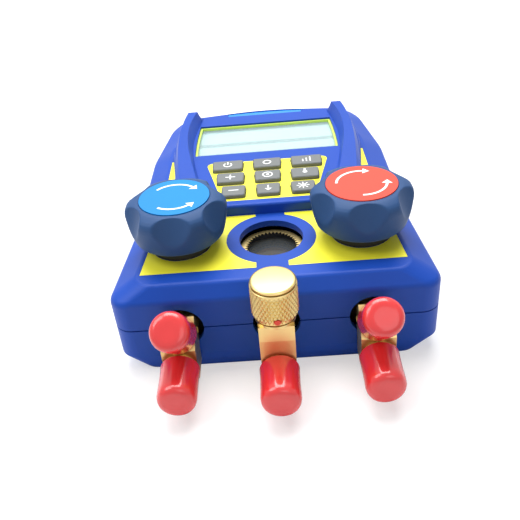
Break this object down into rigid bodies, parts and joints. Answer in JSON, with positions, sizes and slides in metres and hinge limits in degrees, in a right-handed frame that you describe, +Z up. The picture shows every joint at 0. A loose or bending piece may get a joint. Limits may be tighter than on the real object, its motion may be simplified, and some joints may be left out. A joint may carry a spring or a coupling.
{
  "type": "refrigerant manifold gauge",
  "caption": "Handheld digital refrigerant manifold gauge with valve knobs, sight glass, keypad, display, brass flare ports and pull-off port caps.",
  "frame": {"origin": "on the base, in the middle of the case's length and width", "axes": "+Z up from the base through the display side, -Y along the lower service ports, +X to the high-pressure side"},
  "size_m": [0.1176, 0.1968, 0.0565],
  "materials": {
    "badge_blue": "bare metallic film",
    "board_green": "solder mask",
    "brass": "turned and plated",
    "case_blue": "satin moulded ABS",
    "cell_silver": "plain wrap",
    "film_yellow": "printed polyester film",
    "frame_lime": "satin",
    "key_grey": "matte silicone",
    "knob_navy": "satin moulded nylon",
    "label_blue": "printed film",
    "label_red": "printed film",
    "lcd_clear": "clear acrylic",
    "lcd_grey": "display glass",
    "ptfe_white": "smooth",
    "screw_steel": "zinc plated",
    "seal_black": "matte black",
    "sensor_steel": "stainless",
    "sight_clear": "clear glass",
    "silicone_white": "matte silicone",
    "vinyl_red": "dip-moulded vinyl"
  },
  "bodies": {
    "case": {"badge_plate": "badge_blue", "battery_cells": "cell_silver", "battery_contacts": "screw_steel", "board_screws": "screw_steel", "case_screws": "screw_steel", "centre_fitting": "brass", "circuit_board": "board_green", "high_bonnet": "seal_black", "keypad_film": "film_yellow", "keypad_mat": "silicone_white", "lcd_frame": "frame_lime", "lcd_module": "lcd_grey", "lcd_window": "lcd_clear", "left_deck_film": "film_yellow", "left_fitting": "brass", "low_bonnet": "seal_black", "lower_case": "case_blue", "manifold_block": "brass", "mount_screws": "screw_steel", "pressure_sensors": "sensor_steel", "right_deck_film": "film_yellow", "right_fitting": "brass", "sight_gasket": "seal_black", "sight_lens": "sight_clear", "sight_ring": "brass", "upper_case": "case_blue", "vacuum_sensor": "sensor_steel", "valve_core": "brass"},
    "key_lamp": {"key_lamp": "key_grey"},
    "key_mode": {"key_mode": "key_grey"},
    "key_power": {"key_power": "key_grey"},
    "key_range_down": {"key_range_down": "key_grey"},
    "key_range_up": {"key_range_up": "key_grey"},
    "key_temperature": {"key_temperature": "key_grey"},
    "key_unit": {"key_unit": "key_grey"},
    "key_vacuum": {"key_vacuum": "key_grey"},
    "key_zero": {"key_zero": "key_grey"},
    "low_seat": {"low_seat_disc": "ptfe_white"},
    "low_knob": {"low_knob": "knob_navy", "low_stem": "screw_steel", "low_knob_screw": "screw_steel", "low_label": "label_blue"},
    "high_seat": {"high_seat_disc": "ptfe_white"},
    "high_knob": {"high_knob": "knob_navy", "high_stem": "screw_steel", "high_knob_screw": "screw_steel", "high_label": "label_red"},
    "cap_seal": {"access_cap_seal": "seal_black"},
    "access_cap": {"access_cap": "brass"},
    "core_pin": {"valve_core_pin": "screw_steel"},
    "left_lower_cap": {"left_lower_cap": "vinyl_red"},
    "right_lower_cap": {"right_lower_cap": "vinyl_red"},
    "centre_lower_cap": {"centre_lower_cap": "vinyl_red"},
    "left_upper_cap": {"left_upper_cap": "vinyl_red"},
    "right_upper_cap": {"right_upper_cap": "vinyl_red"},
    "battery_door": {"battery_door": "case_blue"}
  },
  "joints": [
    {"name": "key_lamp_press", "type": "slide", "parent": "case", "child": "key_lamp", "axis": [0, 0, -1], "range_m": [0, 0.0008], "stiffness_N_per_m": 600},
    {"name": "key_mode_press", "type": "slide", "parent": "case", "child": "key_mode", "axis": [0, 0, -1], "range_m": [0, 0.0008], "stiffness_N_per_m": 600},
    {"name": "key_power_press", "type": "slide", "parent": "case", "child": "key_power", "axis": [0, 0, -1], "range_m": [0, 0.0008], "stiffness_N_per_m": 600},
    {"name": "key_range_down_press", "type": "slide", "parent": "case", "child": "key_range_down", "axis": [0, 0, -1], "range_m": [0, 0.0008], "stiffness_N_per_m": 600},
    {"name": "key_range_up_press", "type": "slide", "parent": "case", "child": "key_range_up", "axis": [0, 0, -1], "range_m": [0, 0.0008], "stiffness_N_per_m": 600},
    {"name": "key_temperature_press", "type": "slide", "parent": "case", "child": "key_temperature", "axis": [0, 0, -1], "range_m": [0, 0.0008], "stiffness_N_per_m": 600},
    {"name": "key_unit_press", "type": "slide", "parent": "case", "child": "key_unit", "axis": [0, 0, -1], "range_m": [0, 0.0008], "stiffness_N_per_m": 600},
    {"name": "key_vacuum_press", "type": "slide", "parent": "case", "child": "key_vacuum", "axis": [0, 0, -1], "range_m": [0, 0.0008], "stiffness_N_per_m": 600},
    {"name": "key_zero_press", "type": "slide", "parent": "case", "child": "key_zero", "axis": [0, 0, -1], "range_m": [0, 0.0008], "stiffness_N_per_m": 600},
    {"name": "low_valve_lift", "type": "slide", "parent": "case", "child": "low_seat", "axis": [0, 0, 1], "range_m": [0, 0.003]},
    {"name": "low_valve_turn", "type": "hinge", "parent": "low_seat", "child": "low_knob", "pos_m": [-0.0339, -0.0531, 0.045], "axis": [0, 0, 1], "range_deg": [0, 720]},
    {"name": "high_valve_lift", "type": "slide", "parent": "case", "child": "high_seat", "axis": [0, 0, 1], "range_m": [0, 0.003]},
    {"name": "high_valve_turn", "type": "hinge", "parent": "high_seat", "child": "high_knob", "pos_m": [0.0339, -0.0531, 0.045], "axis": [0, 0, 1], "range_deg": [0, 720]},
    {"name": "access_cap_lift", "type": "slide", "parent": "case", "child": "cap_seal", "axis": [0, 0, 1], "range_m": [0, 0.0064]},
    {"name": "access_cap_turn", "type": "hinge", "parent": "cap_seal", "child": "access_cap", "pos_m": [0, -0.092, 0.038], "axis": [0, 0, 1], "range_deg": [0, 1800]},
    {"name": "core_pin_press", "type": "slide", "parent": "case", "child": "core_pin", "axis": [0, 0, -1], "range_m": [0, 0.0012], "stiffness_N_per_m": 400},
    {"name": "left_lower_cap_pull", "type": "slide", "parent": "case", "child": "left_lower_cap", "axis": [0, -1, 0], "range_m": [0, 0.024]},
    {"name": "right_lower_cap_pull", "type": "slide", "parent": "case", "child": "right_lower_cap", "axis": [0, -1, 0], "range_m": [0, 0.024]},
    {"name": "centre_lower_cap_pull", "type": "slide", "parent": "case", "child": "centre_lower_cap", "axis": [0, -1, 0], "range_m": [0, 0.024]},
    {"name": "left_upper_cap_pull", "type": "slide", "parent": "case", "child": "left_upper_cap", "axis": [0, -0.7071, 0.7071], "range_m": [0, 0.024]},
    {"name": "right_upper_cap_pull", "type": "slide", "parent": "case", "child": "right_upper_cap", "axis": [0, -0.7071, 0.7071], "range_m": [0, 0.024]},
    {"name": "battery_door_slide", "type": "slide", "parent": "case", "child": "battery_door", "axis": [0, 1, 0], "range_m": [0, 0.075]}
  ],
  "couplings": [
    {"joint": "low_valve_lift", "follows": "low_valve_turn", "m_per_rad": 0.0002387},
    {"joint": "high_valve_lift", "follows": "high_valve_turn", "m_per_rad": 0.0002387},
    {"joint": "access_cap_lift", "follows": "access_cap_turn", "m_per_rad": 0.0002021}
  ]
}
